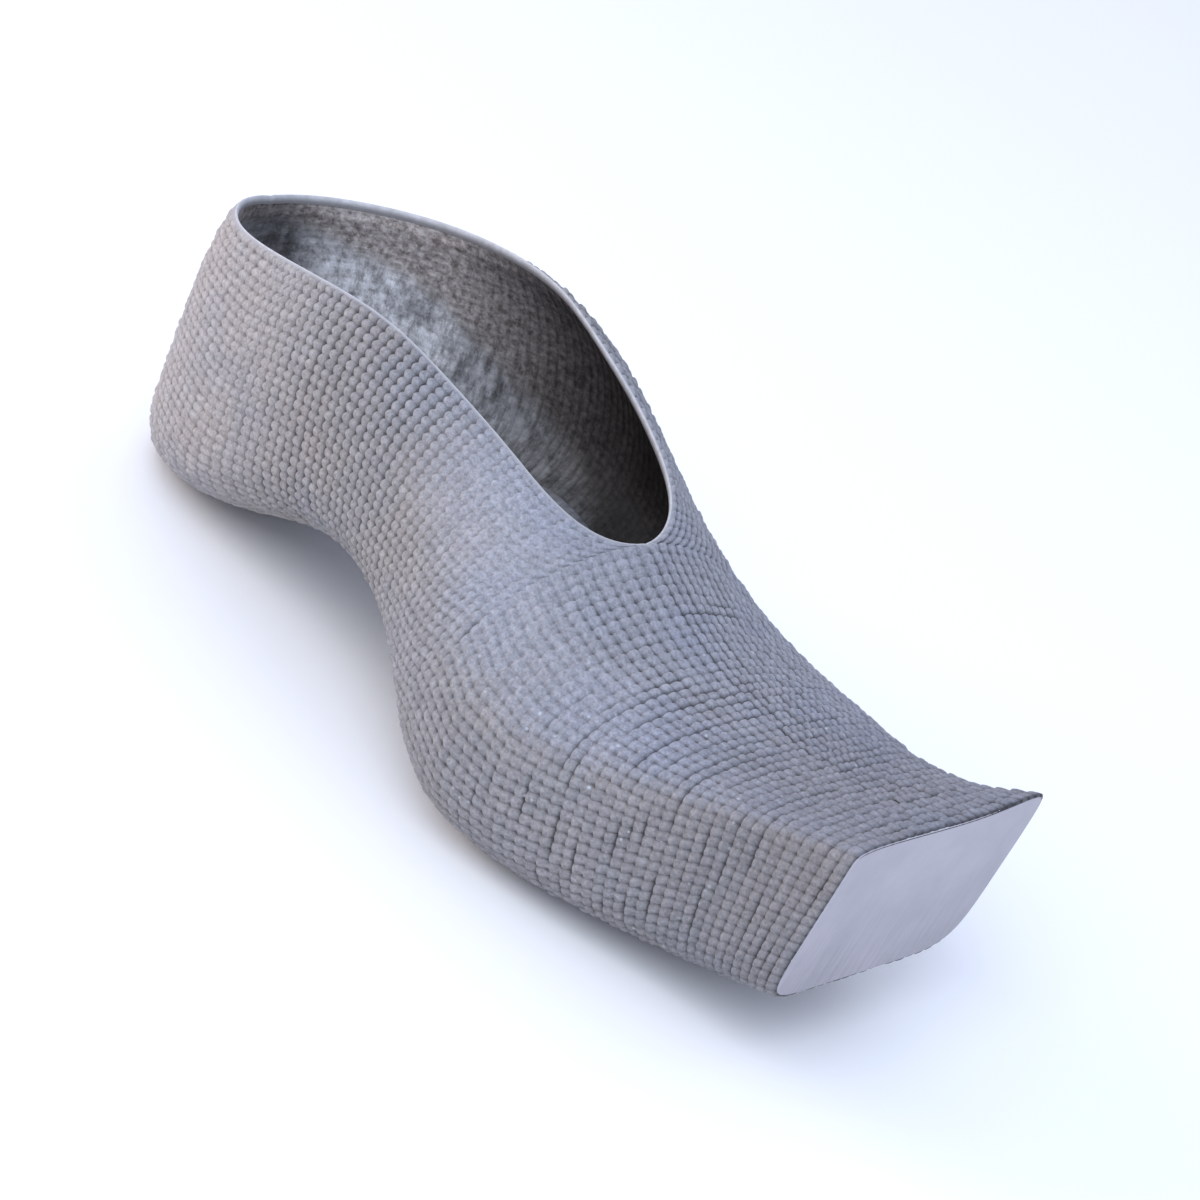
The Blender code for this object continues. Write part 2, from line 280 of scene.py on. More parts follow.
# the form's surface over the loop: rays from a centre line in each half-plane meet the section, are cut at the
# collar's edge, and are shared out by length from the middle of the sole upward
def shellSurface(columnShares):
    s = scaleRows
    x, turn, lean, row, frontRows = scaleLoop()
    mid = sizesAt(x)
    height = (mid["wideRight"] + mid["wideLeft"]) / 2
    centre = np.stack((x + lean * (height - s["leanHeight"]), mid["middle"], height), axis=-1)[:, None]
    outward = np.stack((-np.sin(turn), -np.cos(turn), 0 * turn), axis=-1)[:, None]
    upward = np.stack((lean, 0 * lean, 0 * lean + 1), axis=-1)[:, None]
    angle = np.linspace(-np.pi / 2, np.pi / 2, s["rays"])[None, :, None]
    ray = np.cos(angle) * outward + np.sin(angle) * upward
    hit = centre + ray * rayLength(centre, ray, s["rayReach"], s["halvings"])[..., None]

    at = sizesAt(hit[..., 0], ("top", "middle", "collarRight", "collarLeft"))
    depth = np.where(hit[..., 1] < at["middle"], at["collarRight"], at["collarLeft"])
    over = hit[..., 2] - (at["top"] - depth)
    heelTop = shoeForm["rows"][shoeForm["heelTopRow"]][0]
    throat = shoeForm["rows"][shoeForm["throatRow"]][0]
    cut = (over > 0) & (hit[..., 0] > heelTop) & (hit[..., 0] < throat) & (angle[..., 0] > s["collarAngle"])
    isOpen = cut.any(axis=1)
    first = np.argmax(cut, axis=1)
    n = np.arange(len(x))
    share = np.clip(-over[n, first - 1] / np.maximum(over[n, first] - over[n, first - 1], 1e-9), 0, 1)

    shaped = shapedToe(hit)
    steps = np.linalg.norm(np.diff(shaped, axis=1), axis=-1)
    arc = np.pad(np.cumsum(steps, axis=1), ((0, 0), (1, 0)))
    girth = np.where(isOpen, arc[n, first - 1] + share * (arc[n, first] - arc[n, first - 1]), arc[:, -1])
    even = smoothed(girth, s["girthBlend"])
    placed = columnPlaces(x, turn, even, columnShares)
    along = placed * even[:, None] + columnShares[None] ** s["edgePower"] * (girth - even)[:, None]
    return {
        "points": rowInterp(arc, along, shaped), "girth": girth, "along": along, "open": isOpen, "row": row,
        "frontRows": frontRows, "turn": turn, "x": x,
    }


# outward directions of a grid by the cross of its two runs; both halves share them where they meet
def surfaceNormals(surface):
    points = surface["points"]
    alongLoop, alongArc = np.gradient(points, axis=0), np.gradient(points, axis=1)
    normals = unit(np.cross(alongArc, alongLoop))
    n = len(points)
    fan = (surface["turn"] > 0) & (surface["turn"] < np.pi)
    normals[fan, 0] = (0, 0, -1)
    mirror = np.arange(n)[::-1]
    front = np.where(~fan)[0]
    normals[front, 0] = unit(normals[front, 0] + normals[mirror[front], 0])
    closed = np.where(~surface["open"])[0]
    closed = closed[~surface["open"][mirror[closed]]]
    normals[closed, -1] = unit(normals[closed, -1] + normals[mirror[closed], -1])
    return normals


# a grid of points in form millimetres as a mesh object at the origin, with float attributes on its points
def gridPiece(name, points, attributes=None, wrap=False, flip=False):
    rows, columns = points.shape[:2]
    index = np.arange(rows * columns).reshape(rows, columns)
    if wrap:
        index = np.concatenate((index, index[:, :1]), axis=1)
    quads = np.stack((index[:-1, :-1], index[:-1, 1:], index[1:, 1:], index[1:, :-1]), axis=-1).reshape(-1, 4)
    if flip:
        quads = quads[:, ::-1]
    places = (points.reshape(-1, 3) - np.array(shoeForm["standPoint"])) * 0.001
    mesh = bpy.data.meshes.new(name)
    mesh.vertices.add(len(places))
    mesh.vertices.foreach_set("co", places.astype(np.float32).ravel())
    mesh.loops.add(quads.size)
    mesh.loops.foreach_set("vertex_index", quads.astype(np.int32).ravel())
    mesh.polygons.add(len(quads))
    mesh.polygons.foreach_set("loop_start", np.arange(0, quads.size, 4, dtype=np.int32))
    mesh.update(calc_edges=True)
    for key, values in (attributes or {}).items():
        layer = mesh.attributes.new(key, "FLOAT", "POINT")
        layer.data.foreach_set("value", np.ascontiguousarray(values, dtype=np.float32).ravel())
    body = bmesh.new()
    body.from_mesh(mesh)
    bmesh.ops.remove_doubles(body, verts=body.verts, dist=1e-7)
    bmesh.ops.dissolve_degenerate(body, edges=body.edges, dist=1e-8)
    body.to_mesh(mesh)
    body.free()
    mesh.shade_smooth()
    piece = bpy.data.objects.new(name, mesh)
    bpy.context.collection.objects.link(piece)
    print(f"  {name}: {sum(len(p.vertices) - 2 for p in mesh.polygons)} triangles")
    return piece


def handOver(piece, node, material):
    piece.data.materials.append(material)
    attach(piece, "root")
    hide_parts(node)


# node trees: inputs by name or number, a pair (node, output) is a link
def setInputs(tree, node, **inputs):
    for key, value in inputs.items():
        socket = node.inputs[int(key[1:]) if key[1:].isdigit() else key.replace("_", " ")]
        if isinstance(value, tuple) and isinstance(value[0], bpy.types.Node):
            tree.links.new(value[0].outputs[value[1]], socket)
        else:
            socket.default_value = (*value, 1) if socket.type == "RGBA" else value


def addNode(tree, kind, settings=None, **inputs):
    node = tree.nodes.new("ShaderNode" + kind)
    for key, value in (settings or {}).items():
        setattr(node, key, value)
    setInputs(tree, node, **inputs)
    return node


# colours by stops over a value, a single number is a grey
def ramp(tree, source, stops):
    node = addNode(tree, "ValToRGB", Fac=source)
    line = node.color_ramp
    while len(line.elements) < len(stops):
        line.elements.new(0.5)
    for element, (place, tone) in zip(line.elements, stops):
        element.position = place
        element.color = (*np.broadcast_to(tone, 3), 1)
    return node, "Color"


def mixColour(tree, share, first, second, blend="MIX"):
    return addNode(tree, "Mix", {"data_type": "RGBA", "blend_type": blend}, i0=share, i6=first, i7=second), 2


def multiplied(tree, first, second, share=1.0):
    return mixColour(tree, share, first, second, "MULTIPLY")


def attribute(tree, name):
    return addNode(tree, "Attribute", {"attribute_name": name}), "Fac"


def mapped(tree, value, span, onto=(0, 1)):
    ends = dict(zip(("From_Min", "From_Max", "To_Min", "To_Max"), (*span, *onto)))
    return addNode(tree, "MapRange", Value=value, **ends), "Result"


def noise(tree, place, scale, detail, roughness):
    return addNode(tree, "TexNoise", Vector=place, Scale=scale, Detail=detail, Roughness=roughness), "Fac"


# bumps laid one over the other: strength, depth in metres and height of each
def bumps(tree, *layers):
    below = {}
    for strength, depth, height in layers:
        node = addNode(tree, "Bump", Strength=strength, Distance=depth, Height=height, **below)
        below = {"Normal": (node, "Normal")}
    return below["Normal"]


def freshMaterial(name):
    material = bpy.data.materials.new(name)
    material.use_nodes = True
    tree = material.node_tree
    tree.nodes.clear()
    shader = tree.nodes.new("ShaderNodeBsdfPrincipled")
    output = tree.nodes.new("ShaderNodeOutputMaterial")
    tree.links.new(shader.outputs[0], output.inputs[0])
    return material, tree, shader


toneReach = 0.13  # metres from the origin to either end of the tones by x


# a tone or colour that changes along the shoe, by stops over its length
def toneByX(tree, place, stops):
    share = mapped(tree, (addNode(tree, "SeparateXYZ", Vector=place), "X"), (-toneReach, toneReach))
    return ramp(tree, share, stops)


# noises here and below are given by scale, detail and roughness
printFinish = {
    "grain": (1000, 4, 0.72), "lumps": (430, 2, 0.5), "cloud": (24, 5, 0.62),
    "tone": ((0.0, (0.264, 0.250, 0.248)), (0.45, (0.296, 0.280, 0.278)), (1.0, (0.332, 0.315, 0.314))),
    "tint": ((0.38, (0.338, 0.299, 0.273)), (0.62, (0.272, 0.273, 0.296))), "tintShare": 0.45,  # warm to cool
    "speckle": ((0.32, 0.55), (0.68, 1.32)), "speckleShare": 0.8,
    # painted shade: the near-black colour laid into the grooves and pits of the print
    "grooveShade": (0.035, 0.032, 0.034),
    "lip": (0.38, 0.375, 0.39),
    "upward": (1.1, 1.2, 1.38), "skyLightFrom": 0.32, "skyLightBlend": 0.6,  # painted blue sky light on what faces up
    "skyLightSpan": ((85, 0), (130, 1), (185, 1), (215, 0.7)),  # and its strength by x in mm
    "speck": (0.62, 0.68, 0.74), "speckScale": 330,
    "speckCore": ((0.0, 0.55), (0.1, 0.4), (0.17, 0)), "speckChosen": ((0.6, 0), (0.78, 1)),
    "speckled": ((0.0, 0.0), (0.55, 0.1), (0.68, 1.0), (0.84, 1.0), (0.95, 0.3)),  # specks by x
    "toward": (  # painted light at the heel, painted shade over the waist and ball, and darker toward the toe, by x
        (0.0, (1.42, 1.39, 1.37)), (0.05, (1.36, 1.33, 1.31)), (0.16, (1.21, 1.18, 1.16)), (0.3, (0.96, 0.95, 0.94)),
        (0.42, 0.94), (0.53, 0.98), (0.66, (0.95, 0.94, 0.93)), (0.78, (0.89, 0.89, 0.91)), (0.9, (0.73, 0.74, 0.77)),
        (1.0, (0.72, 0.73, 0.76)),
    ),
    "roughness": (0.55, 0.78), "roughSpan": (0.3, 0.7),
    "layerPitch": 0.00028, "layerWaver": 1.2,
    "layerBump": (0.25, 0.00008), "lumpBump": (0.8, 0.0006), "grainBump": (1.0, 0.0004),
}


# printed grey: each scale has its own tone, grooves and pits are darkened with painted shade, faces that point up get
# a painted blue sky light and a painted light and shade ramp runs along the shoe; broad clouds of warmer and cooler
# grey, a few pale specks, fine layer lines across the foot and a granular bump
def printedGrey():
    material, tree, shader = freshMaterial("printed_grey_scales")
    f = printFinish
    place = (addNode(tree, "TexCoord"), "Object")
    grain, lumps, cloud = (noise(tree, place, *f[name]) for name in ("grain", "lumps", "cloud"))
    base = ramp(tree, attribute(tree, "tone"), f["tone"])
    coloured = mixColour(tree, f["tintShare"], base, ramp(tree, cloud, f["tint"]))
    # painted light and shade along the shoe
    shaded = multiplied(tree, coloured, toneByX(tree, place, f["toward"]))
    # painted blue sky light on faces that point up
    skyLit = multiplied(tree, shaded, f["upward"], attribute(tree, "upward"))
    grained = multiplied(tree, skyLit, ramp(tree, grain, f["speckle"]), f["speckleShare"])
    lipped = mixColour(tree, attribute(tree, "lip"), grained, f["lip"])
    # painted shade in the grooves and pits
    grooveShaded = mixColour(tree, attribute(tree, "grooveShade"), lipped, f["grooveShade"])
    spots = addNode(tree, "TexVoronoi", Vector=place, Scale=f["speckScale"])
    core, chosen = ramp(tree, (spots, "Distance"), f["speckCore"]), ramp(tree, (spots, "Color"), f["speckChosen"])
    shown = multiplied(tree, multiplied(tree, core, chosen), toneByX(tree, place, f["speckled"]))
    final = mixColour(tree, shown, grooveShaded, f["speck"])
    rough = mapped(tree, grain, f["roughSpan"], f["roughness"])
    layers = addNode(
        tree, "TexWave", {"wave_type": "BANDS", "bands_direction": "X"}, Vector=place,
        Scale=2 * np.pi / f["layerPitch"] / 20, Distortion=f["layerWaver"], Detail=1.0,
    )
    bump = bumps(tree, (*f["layerBump"], (layers, "Fac")), (*f["lumpBump"], lumps), (*f["grainBump"], grain))
    setInputs(tree, shader, Base_Color=final, Roughness=rough, Normal=bump, Specular_IOR_Level=0.4)
    return material


liningFinish = {
    "ringScale": (520, 210, 210), "streak": (1, 5, 0.72), "cloud": (110, 6, 0.8), "grit": (520, 4, 0.75),
    # painted sky light: the bed's rings run up to a pale blue-grey, lighter than the wall
    "rings": ((0.36, (0.38, 0.36, 0.365)), (0.58, (0.96, 0.94, 0.96))),
    "wall": ((0.36, (0.245, 0.205, 0.185)), (0.64, (0.76, 0.685, 0.645))),
    "patches": ((0.36, 0.45), (0.56, 1)),
    "cells": ((0.0, 0.62), (0.5, 1), (1.0, 1.15)),
    # painted shade: near-black colour in the dimples of the scales' backs
    "grooveShade": (0.035, 0.028, 0.025),
    "ringBump": (0.7, 0.00022), "gritBump": (0.8, 0.0004),
}


# inside: brown-grey wall darkened with painted shade, with the scales' backs as pits of painted shade, a blue-grey
# bed below painted lighter by sky light, with rings across the foot, both darkened with painted shade at the heel's
# back and toward the toe
def liningGrey():
    material, tree, shader = freshMaterial("printed_grey_inside")
    f = liningFinish
    place = (addNode(tree, "TexCoord"), "Object")
    stretched = (addNode(tree, "Mapping", Vector=place, Scale=f["ringScale"]), "Vector")
    streak = noise(tree, stretched, *f["streak"])
    cloud, grit = (noise(tree, place, *f[name]) for name in ("cloud", "grit"))
    ringed = multiplied(tree, ramp(tree, streak, f["rings"]), ramp(tree, cloud, f["patches"]))
    uneven = multiplied(tree, ringed, ramp(tree, attribute(tree, "cell"), f["cells"]))
    # the bed is painted lighter than the wall, painted sky light on the floor of the shoe
    mixed = mixColour(tree, attribute(tree, "bed"), ramp(tree, grit, f["wall"]), uneven)
    # painted shade in the dimples
    dimpleShaded = mixColour(tree, attribute(tree, "grooveShade"), mixed, f["grooveShade"])
    final = multiplied(tree, dimpleShaded, attribute(tree, "shade"))
    bump = bumps(tree, (*f["ringBump"], streak), (*f["gritBump"], grit))
    setInputs(tree, shader, Base_Color=final, Roughness=0.6, Normal=bump, Specular_IOR_Level=0.25)
    return material


rimFinish = {
    "grain": (420, 3, 0.6), "grainBump": (0.4, 0.0001),
    "colour": ((0.3, (0.4, 0.395, 0.405)), (0.7, (0.54, 0.54, 0.56))),
    "inner": (0.15, 0.14, 0.137), "slope": ((0.5, 0), (0.85, 0.7)),  # painted shade, darker toward the inside
}


# collar rim: the bare print, smooth with a faint grain, and painted shade on its inner slope
def rimGrey():
    material, tree, shader = freshMaterial("printed_grey_rim")
    f = rimFinish
    grain = noise(tree, (addNode(tree, "TexCoord"), "Object"), *f["grain"])
    slope = ramp(tree, attribute(tree, "inward"), f["slope"])
    # painted shade on the rim's inner slope
    final = mixColour(tree, slope, ramp(tree, grain, f["colour"]), f["inner"])
    bump = bumps(tree, (*f["grainBump"], grain))
    setInputs(tree, shader, Base_Color=final, Roughness=0.5, Normal=bump)
    return material


plateFinish = {
    "lineTurn": 12, "lineScale": (30, 1300, 60), "lines": (1, 2, 0.5),
    "cloud": (65, 6, 0.6), "grain": (1400, 2, 0.5),
    "base": ((0.32, (0.375, 0.362, 0.400)), (0.68, (0.452, 0.430, 0.466))),
    "lined": ((0.36, (0.7, 0.69, 0.7)), (0.6, (0.84, 0.83, 0.84))),
    "linedSpan": (0.05, 0.02), "linedShare": (0.15, 1.0),  # more lines and a darker tone lower down, by height in metres
    # painted highlight: a paler grey along the plate's edge
    "edge": (0.62, 0.61, 0.65), "edgeHighlightSpan": ((0.0, 0.3), (0.4, 0.12), (1.0, 0)),
    "ringsPerInset": 14, "ringBump": (0.12, 0.00006), "lineBump": (0.3, 0.00008), "grainBump": (0.3, 0.00006),
}


# toe plate: pale lavender grey off the print bed, with lines that follow its edge, a painted highlight along that
# edge and slanting lines inside
def plateGrey():
    material, tree, shader = freshMaterial("plate_grey_print")
    f = plateFinish
    place = (addNode(tree, "TexCoord"), "Object")
    inset = attribute(tree, "inset")
    slanted = addNode(tree, "Mapping", Vector=place, Rotation=(np.radians(f["lineTurn"]), 0, 0), Scale=f["lineScale"])
    lines = noise(tree, (slanted, "Vector"), *f["lines"])
    cloud, grain = (noise(tree, place, *f[name]) for name in ("cloud", "grain"))
    low = mapped(tree, (addNode(tree, "SeparateXYZ", Vector=place), "Z"), f["linedSpan"], f["linedShare"])
    coloured = multiplied(tree, ramp(tree, cloud, f["base"]), ramp(tree, lines, f["lined"]), low)
    # painted highlight along the edge
    final = mixColour(tree, ramp(tree, inset, f["edgeHighlightSpan"]), coloured, f["edge"])
    around = addNode(tree, "Math", {"operation": "MULTIPLY"}, i0=inset, i1=f["ringsPerInset"])
    rings = addNode(tree, "Math", {"operation": "SINE"}, i0=(around, 0))
    bump = bumps(tree, (*f["ringBump"], (rings, 0)), (*f["lineBump"], lines), (*f["grainBump"], grain))
    setInputs(tree, shader, Base_Color=final, Roughness=0.46, Normal=bump)
    return material


insoleFinish = {
    "cloud": (70, 5, 0.62), "grain": (1, 5, 0.7),
    "base": ((0.32, (0.195, 0.195, 0.215)), (0.66, (0.4, 0.41, 0.45))),
    "speckle": ((0.34, 0.55), (0.62, 1.1)),
    "toward": ((0.2, 1.0), (0.42, 0.55), (0.52, 0.5), (0.64, 0.55)),  # painted shade by x, darker toward the toe
    "cloudBump": (0.5, 0.0006), "grainBump": (0.7, 0.0003),
}


# foot bed: patchy blue-grey with rings across the foot, darkened toward the toe with painted shade
def insoleGrey():
    material, tree, shader = freshMaterial("insole_grey_bed")
    f = insoleFinish
    place = (addNode(tree, "TexCoord"), "Object")
    cloud = noise(tree, place, *f["cloud"])
    stretched = addNode(tree, "Mapping", Vector=place, Scale=liningFinish["ringScale"])
    grain = noise(tree, (stretched, "Vector"), *f["grain"])
    coloured = multiplied(tree, ramp(tree, cloud, f["base"]), ramp(tree, grain, f["speckle"]))
    # painted shade by x
    final = multiplied(tree, coloured, toneByX(tree, place, f["toward"]))
    bump = bumps(tree, (*f["cloudBump"], cloud), (*f["grainBump"], grain))
    setInputs(tree, shader, Base_Color=final, Roughness=0.6, Normal=bump)
    return material


# one scale: a shingle whose free edge stands up toward the heel and reaches over the groove behind it
scaleShape = {
    "seed": 7,
    "relief": 0.8,  # crest above the groove floor, mm
    "reliefSpread": 0.32,
    "sink": 0.24,  # groove floor below the form
    "turnIn": 0.8,
    "rowCut": 0.4,  # extra depth of the dark row grooves
    "tipReach": ((40, 0.6), (110, 0.55), (160, 0.35), (200, 0.15), (253, 0.05)),  # an edge's middle stands out
    "tipSpread": 0.35,
    "poleSpacing": 0.22,  # scales fade where samples round the heel lie closer than this
    "sideStretch": 4, "topStretch": 9, "topFrom": 28, "topBlend": 3,  # columns that a dark stroke runs over
    # painted shade darkens each stroke's cut by this much
    "strokeBlend": 0.5, "strokeShade": 0.95,
    # a stroke is drawn where its draw passes the limit: by column on the heel and on the toe
    "heelLimit": ((0, 1.7), (20, 1.8), (26, 2.2), (30, 3.4), (38, 3.4)),
    "toeLimit": ((0, 0.6), (10, 0.45), (17, 0.6), (22, 0.9), (26, 1.1), (29, 0.5), (32, -0.15), (38, -0.15)),
    "limitSpan": ((140, 0), (192, 1)),
    "calmBall": ((20, 1.0), (25, 0.66), (29, 0.58), (33, 1.0)),  # the shoulder over the ball is smoother
    "calmThroat": ((25, 1.0), (30, 0.5), (36, 0.5), (39, 0.75)),  # and so is the side of the throat
    "ballSpan": ((140, 0), (158, 1), (182, 1), (200, 0.25)),
    "throatSpan": ((106, 0), (124, 1), (150, 1), (166, 0)),
    "calmPower": 1.5,
    # deeper grooves with more painted shade on the vamp and toe top, and round the waist
    "deepColumns": ((30, 0.0), (33, 1.0)), "deepSpan": ((176, 0), (196, 1)), "deeper": 0.4, "darker": 0.5,
    "waistSpan": ((40, -0.1), (47, -0.4), (60, -0.3), (78, 1), (110, 1), (135, 0)),
    "waistDeeper": 0.2, "waistDarker": 0.6,
    "lowShade": 0.3,  # painted shade on what lies low on a scale
    "lipStart": 0.2, "lipWidth": 0.8,  # scales fade out this close to the collar
    "edgeShadow": (  # painted shadow under a scale's free edge
        (40, 0.24), (60, 0.55), (115, 0.6), (140, 0.2), (158, 0), (205, 0.05), (230, 0.3), (253, 0.4),
    ),
    # share of painted shade in the corner pits, by x
    "pitShadeShare": ((40, 0.48), (60, 0.52), (115, 0.55), (150, 0.72), (253, 0.72)),
    "leftValleyShade": 1.2,  # painted shade in the valleys over the left half is this much darker
    "roundAcross": ((40, 1.9), (150, 1.9), (185, 2.6), (253, 3.2)),  # higher is flatter
    # share of the relief along the row, the rest is across, and the painted shade between the columns
    "alongShare": (
        (40, 0.5), (60, 0.56), (75, 0.62), (115, 0.62), (140, 0.55), (160, 0.46), (205, 0.47), (225, 0.58),
        (253, 0.64),
    ),
    "valleyShade": (
        (40, 0.15), (70, 0.1), (110, 0.08), (150, 0.15), (165, 0.28), (205, 0.25), (230, 0.17), (253, 0.15),
    ),
    "profile": ((0, 0), (0.05, 0.62), (0.13, 0.95), (0.34, 1.0), (0.6, 0.72), (0.84, 0.36), (1, 0)),
    "scallop": ((0, 1), (0.05, 1), (0.13, 0.95), (0.34, 0.7), (0.6, 0.4), (0.84, 0.8), (1, 1)),
    "pit": ((0, 1), (0.05, 0.5), (0.13, 0.1), (0.34, 0), (0.6, 0.05), (0.84, 0.55), (1, 1)),
    "stroke": ((0, 1), (0.05, 0.35), (0.13, 0), (0.34, 0), (0.6, 0), (0.84, 0.18), (1, 1)),
    "evenProfile": ((0, 0), (0.1, 0.5), (0.3, 0.92), (0.5, 1), (0.7, 0.92), (0.9, 0.5), (1, 0)),
}


# a scale's shares: each is a profile read from the free edge on either side of the shoe; height has an even
# pillow round the back, and its sum with a rounded bar across the column leaves pits at the corners
def scaleShares(u, v, fanShare):
    s = scaleShape
    rightShare, leftShare = np.clip(1 - 2 * fanShare, 0, 1), np.clip(2 * fanShare - 1, 0, 1)

    def read(name, left=1):
        return rightShare * tableAt(s[name], 1 - u) + left * leftShare * tableAt(s[name], u)

    def byX(name):
        return tableAt(s[name], surface["x"])

    even = 1 - rightShare - leftShare
    pillow = tableAt(s["evenProfile"], u)
    bar = np.maximum(1 - np.abs(2 * v - 1)[None] ** byX("roundAcross")[:, None], 0)
    share = byX("alongShare")[:, None]
    high = share * (read("profile") + even * pillow)[:, None] + (1 - share) * bar
    return {
        "high": high,
        # painted shade: between the columns, under the free edge and in the corner pits
        "between": (byX("valleyShade") * (1 + s["leftValleyShade"] * leftShare))[:, None] * (1 - bar) ** 2,
        "edge": (byX("edgeShadow") * read("stroke"))[:, None] * np.sqrt(bar),
        "heelward": read("scallop", -1)[:, None] * (bar - 0.5),
        "pit": (byX("pitShadeShare") * (read("pit") + even * (1 - pillow)))[:, None] * (1 - bar),
        "stroke": read("stroke") + even * (1 - pillow),
    }


inColumns = np.arange(scaleRows["columns"])[:, None] + np.array(scaleRows["evenly"])
columnSteps = np.append(inColumns.ravel(), scaleRows["columns"])
perRow = len(scaleRows["evenly"])
surface = shellSurface(columnSteps / scaleRows["columns"])
normals = surfaceNormals(surface)
print("form:", surface["points"].shape, "front rows", surface["frontRows"], "open", int(surface["open"].sum()))


# rows along the collar's edge: the open ones and the closed one at the throat that joins both ends
def collarRing():
    opened = np.where(surface["open"])[0]
    return np.arange(opened[0] - 1, opened[-1] + 1)


collarNear = {
    "closedRows": 60.0,  # distance given to rows that aren't open
    "throat": (118, 175), "columns": 0.8,  # span of x and share of the columns round the throat
    "apexReach": 45,  # length of the edge that counts there
}


# distance of each point from the collar's edge: along its own row where the row is open, and near the throat
# the straight distance to the edge's points where that is less
def collarDistance():
    c = collarNear
    away = np.where(surface["open"][:, None], surface["girth"][:, None] - surface["along"], c["closedRows"])
    edge = surface["points"][collarRing(), -1]
    apex = edge[edge[:, 0] > edge[:, 0].max() - c["apexReach"]]
    rows = np.where((surface["x"] > c["throat"][0]) & (surface["x"] < c["throat"][1]))[0]
    near = np.ix_(rows, np.where(columnSteps > scaleRows["columns"] * c["columns"])[0])
    block = surface["points"][near]
    gap = np.stack([np.linalg.norm(line[:, None] - apex[None], axis=-1).min(axis=-1) for line in block])
    away[near] = np.minimum(away[near], gap)
    return away


# strokes along the rows, cut deeper and darkened with painted shade: seeded draws, smoothed along each row, count
# where they pass a limit
def rowStrokes(draw, rowCount):
    s = scaleShape
    columns = scaleRows["columns"]
    drawn = draw.normal(size=(rowCount + 1, columns + 1))
    steps = np.arange(columns + 1)
    sums = np.cumsum(np.pad(drawn, ((0, 0), (s["topStretch"], s["topStretch"])), mode="reflect"), axis=1)

    def runMean(width):
        last = steps + s["topStretch"] + width // 2
        return (sums[:, last] - sums[:, last - width]) / width**0.5

    onTop = np.clip((steps - s["topFrom"]) / s["topBlend"], 0, 1)
    drawn = runMean(s["sideStretch"]) * (1 - onTop) + runMean(s["topStretch"]) * onTop
    onToe = tableAt(s["limitSpan"], surface["x"][::perRow])[:, None]
    heel, toe = (tableAt(s[name], steps) for name in ("heelLimit", "toeLimit"))
    strokes = np.clip((drawn - heel * (1 - onToe) - toe * onToe) / s["strokeBlend"], 0, 1)
    turned = surface["turn"][::perRow]
    strokes[(turned > 0) & (turned < np.pi)] = 0  # none round the back of the heel
    return strokes


# all scales at once: cell numbers and places in the cell from the loop and the columns, relief and tone by
# seeded draws per cell
def scaleRelief():
    s = scaleShape
    draw = np.random.default_rng(s["seed"])
    row, away = surface["row"], collarDistance()
    columns = scaleRows["columns"]
    rowCount = int(round(row[-1]))
    cellRow = np.minimum(np.floor(row + 1e-6).astype(int), rowCount - 1)
    u = row - cellRow
    cellColumn = np.minimum(np.floor(columnSteps + 1e-6).astype(int), columns - 1)
    v = columnSteps - cellColumn
    fanShare = np.clip((row - surface["frontRows"]) / scaleRows["fanRows"], 0, 1)
    shares = scaleShares(u, v, fanShare)
    size = 1 + s["reliefSpread"] * (draw.random((rowCount, columns)) - 0.5) * 2
    tip = 1 + s["tipSpread"] * (draw.random((rowCount, columns)) - 0.5) * 2
    tone = draw.random((rowCount, columns))
    nearRow = np.where(u < 0.5, cellRow, cellRow + 1)
    dark = rowStrokes(draw, rowCount)
    across = dark[:, cellColumn] * (1 - v) + dark[:, cellColumn + 1] * v
    cut = across[nearRow] * shares["stroke"][:, None]
    fade = np.clip((away - s["lipStart"]) / s["lipWidth"], 0, 1)
    fade = fade * fade * (3 - 2 * fade)
    toPole = np.ones_like(fade)
    fan = (row > surface["frontRows"]) & (row < surface["frontRows"] + scaleRows["fanRows"])
    spacing = np.linalg.norm(np.gradient(surface["points"], axis=0), axis=-1)
    toPole[fan] = np.clip(spacing[fan] / s["poleSpacing"], 0, 1)
    cells = np.ix_(cellRow, cellColumn)
    calm = np.ones_like(fade)
    rightHalf = 1 - surface["turn"] / np.pi
    for span, table in (("ballSpan", "calmBall"), ("throatSpan", "calmThroat")):
        inSpan = (tableAt(s[span], surface["x"]) * rightHalf)[:, None]
        calm *= 1 - inSpan * (1 - tableAt(s[table], columnSteps))[None]
    deep = tableAt(s["deepSpan"], surface["x"])[:, None] * tableAt(s["deepColumns"], columnSteps)[None]
    waist = tableAt(s["waistSpan"], surface["x"])[:, None]
    strength = calm * (1 + s["deeper"] * deep + s["waistDeeper"] * waist)
    swell = (s["relief"] * size[cells] * shares["high"] - s["sink"]) * strength
    lift = swell * fade * toPole - s["rowCut"] * cut * fade
    reach = tableAt(s["tipReach"], surface["x"])[:, None]
    lean = reach * tip[cells] * shares["heelward"] * fade * toPole
    # painted shade: what lies low on a scale, the pits, the valleys, the line under the free edge and the strokes are
    # darkened
    low = (s["lowShade"] + s["darker"] * deep + s["waistDarker"] * waist) * (1 - shares["high"]) ** 2
    shadeMarked = shares["pit"] + shares["between"] + shares["edge"] + low + s["strokeShade"] * cut
    grooveShade = np.clip(shadeMarked, 0, 1) * fade * calm ** s["calmPower"]
    return lift, lean, grooveShade, tone[cells], 1 - fade


